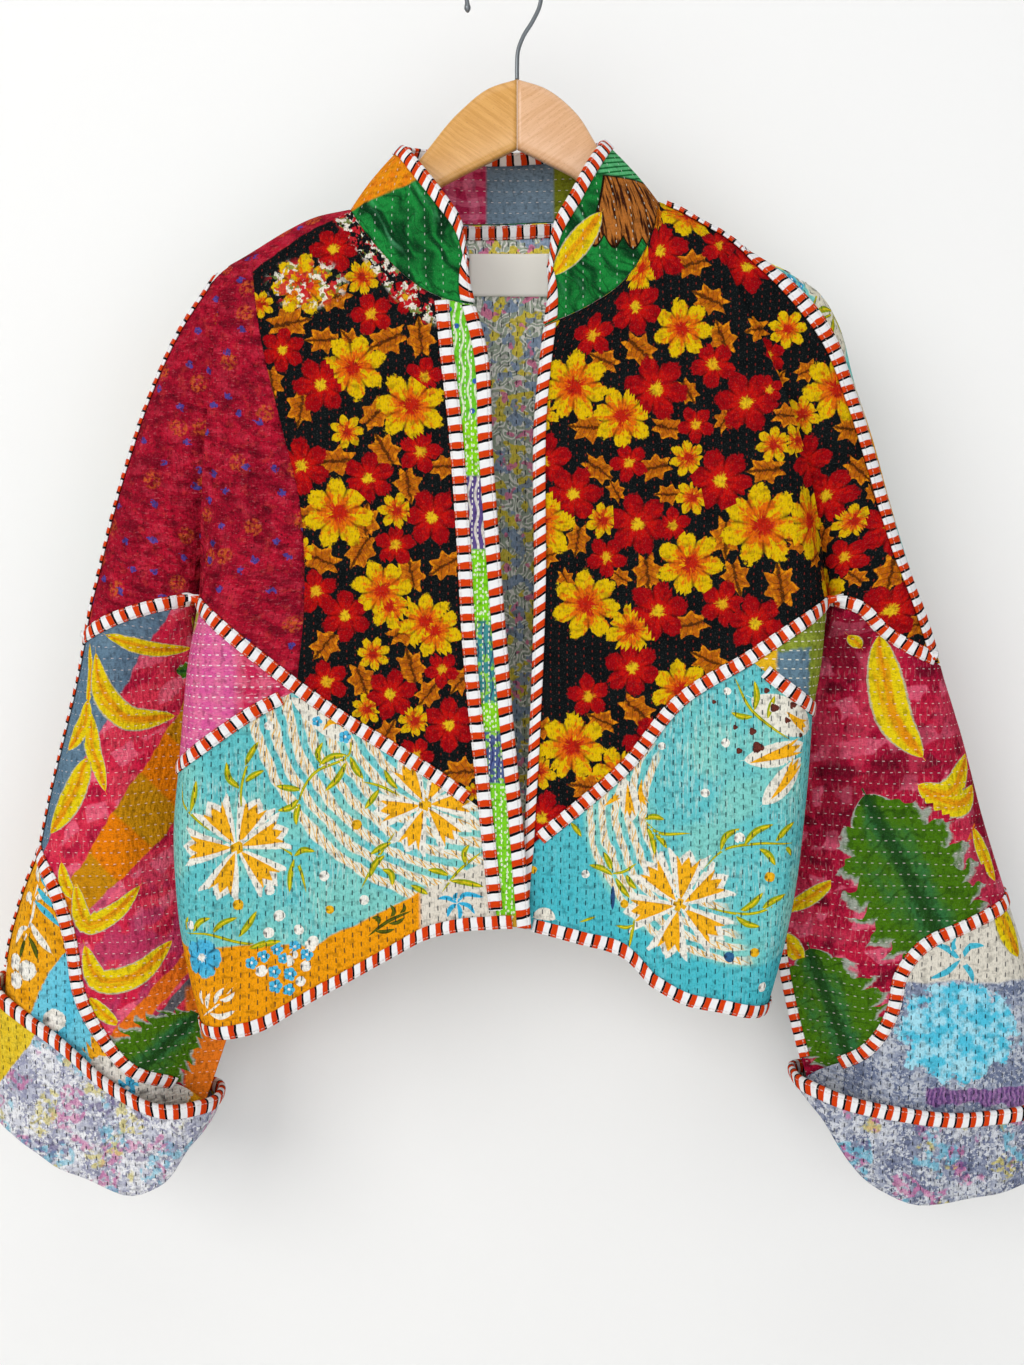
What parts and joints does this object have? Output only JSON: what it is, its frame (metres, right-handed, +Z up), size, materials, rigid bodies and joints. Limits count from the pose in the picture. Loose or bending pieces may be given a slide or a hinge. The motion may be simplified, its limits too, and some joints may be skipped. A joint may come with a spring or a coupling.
{
  "type": "kantha jacket on a wooden hanger",
  "caption": "Cropped open-front patchwork jacket with a stand collar, wide sleeves and turned-back cuffs, held by a curved wooden hanger with a wire hook.",
  "frame": {"origin": "the inside of the hanger hook's crown, where a rail or knob carries it", "axes": "+Z is up along the hanging jacket; +Y points from the jacket's front to its back; +X points to the viewer's right when looking at the front"},
  "size_m": [0.8619, 0.1138, 0.9756],
  "materials": {
    "crimson_cotton": "rippled crimson cotton with faint flowers and running stitches",
    "black_floral_cotton": "near-black cotton printed with yellow and red flowers, quilted",
    "lime_patch_cotton": "lime cotton with purple and teal patches and pale running stitches",
    "pink_plaid_cotton": "pink and magenta checked cotton",
    "turquoise_flower_cotton": "turquoise cotton with large ochre star flowers and dark running stitches",
    "ochre_cotton": "ochre cotton print, quilted",
    "red_plaid_cotton": "red and pink checked cotton with white running stitches",
    "pale_print_cotton": "faded pale cotton with small prints",
    "lavender_mottled_cotton": "mottled lavender grey and white cotton with dark running stitches",
    "green_leaf_cotton": "dark green cotton with soft leaf shapes and white running stitches",
    "striped_bias_binding": "bias strip striped in cream, black and red-orange",
    "cream_label_cotton": "plain cream cotton",
    "golden_beech": "varnished golden beech",
    "pale_beech": "varnished pale beech",
    "steel_wire": "bright drawn steel wire"
  },
  "bodies": {
    "root": {"front_left_crimson": "crimson_cotton", "front_left_floral": "black_floral_cotton", "front_left_placket": "lime_patch_cotton", "front_left_pink_triangle": "pink_plaid_cotton", "front_left_skirt": "turquoise_flower_cotton", "front_right_floral": "black_floral_cotton", "front_right_patch": "ochre_cotton", "front_right_skirt": "turquoise_flower_cotton", "back_upper": "ochre_cotton", "back_skirt": "pale_print_cotton", "sleeve_left_front_forearm": "red_plaid_cotton", "sleeve_left_front_end": "pale_print_cotton", "sleeve_left_back_forearm": "red_plaid_cotton", "sleeve_left_back_end": "pale_print_cotton", "sleeve_right_front_forearm": "red_plaid_cotton", "sleeve_right_front_end": "pale_print_cotton", "sleeve_right_back_forearm": "red_plaid_cotton", "sleeve_right_back_end": "pale_print_cotton", "cuff_left": "lavender_mottled_cotton", "cuff_right": "lavender_mottled_cotton", "collar_left": "green_leaf_cotton", "collar_back": "pink_plaid_cotton", "collar_right": "green_leaf_cotton", "neck_label": "cream_label_cotton", "binding_left_diagonal": "striped_bias_binding", "binding_left_second_diagonal": "striped_bias_binding", "binding_left_placket": "striped_bias_binding", "binding_right_diagonal": "striped_bias_binding", "binding_right_second_diagonal": "striped_bias_binding", "binding_left_elbow": "striped_bias_binding", "binding_left_elbow_back": "striped_bias_binding", "binding_left_curve": "striped_bias_binding", "binding_right_elbow": "striped_bias_binding", "binding_right_elbow_back": "striped_bias_binding", "binding_right_curve": "striped_bias_binding", "binding_left_arm": "striped_bias_binding", "binding_right_arm": "striped_bias_binding", "binding_right_inner_sleeve": "striped_bias_binding", "binding_left_front_edge": "striped_bias_binding", "binding_right_front_edge": "striped_bias_binding", "binding_left_hem": "striped_bias_binding", "binding_right_hem": "striped_bias_binding", "binding_back_hem": "striped_bias_binding", "binding_left_cuff": "striped_bias_binding", "binding_right_cuff": "striped_bias_binding", "binding_collar": "striped_bias_binding", "binding_back_neck": "striped_bias_binding", "hanger_left": "golden_beech", "hanger_right": "pale_beech", "hanger_hook": "steel_wire"}
  },
  "joints": []
}
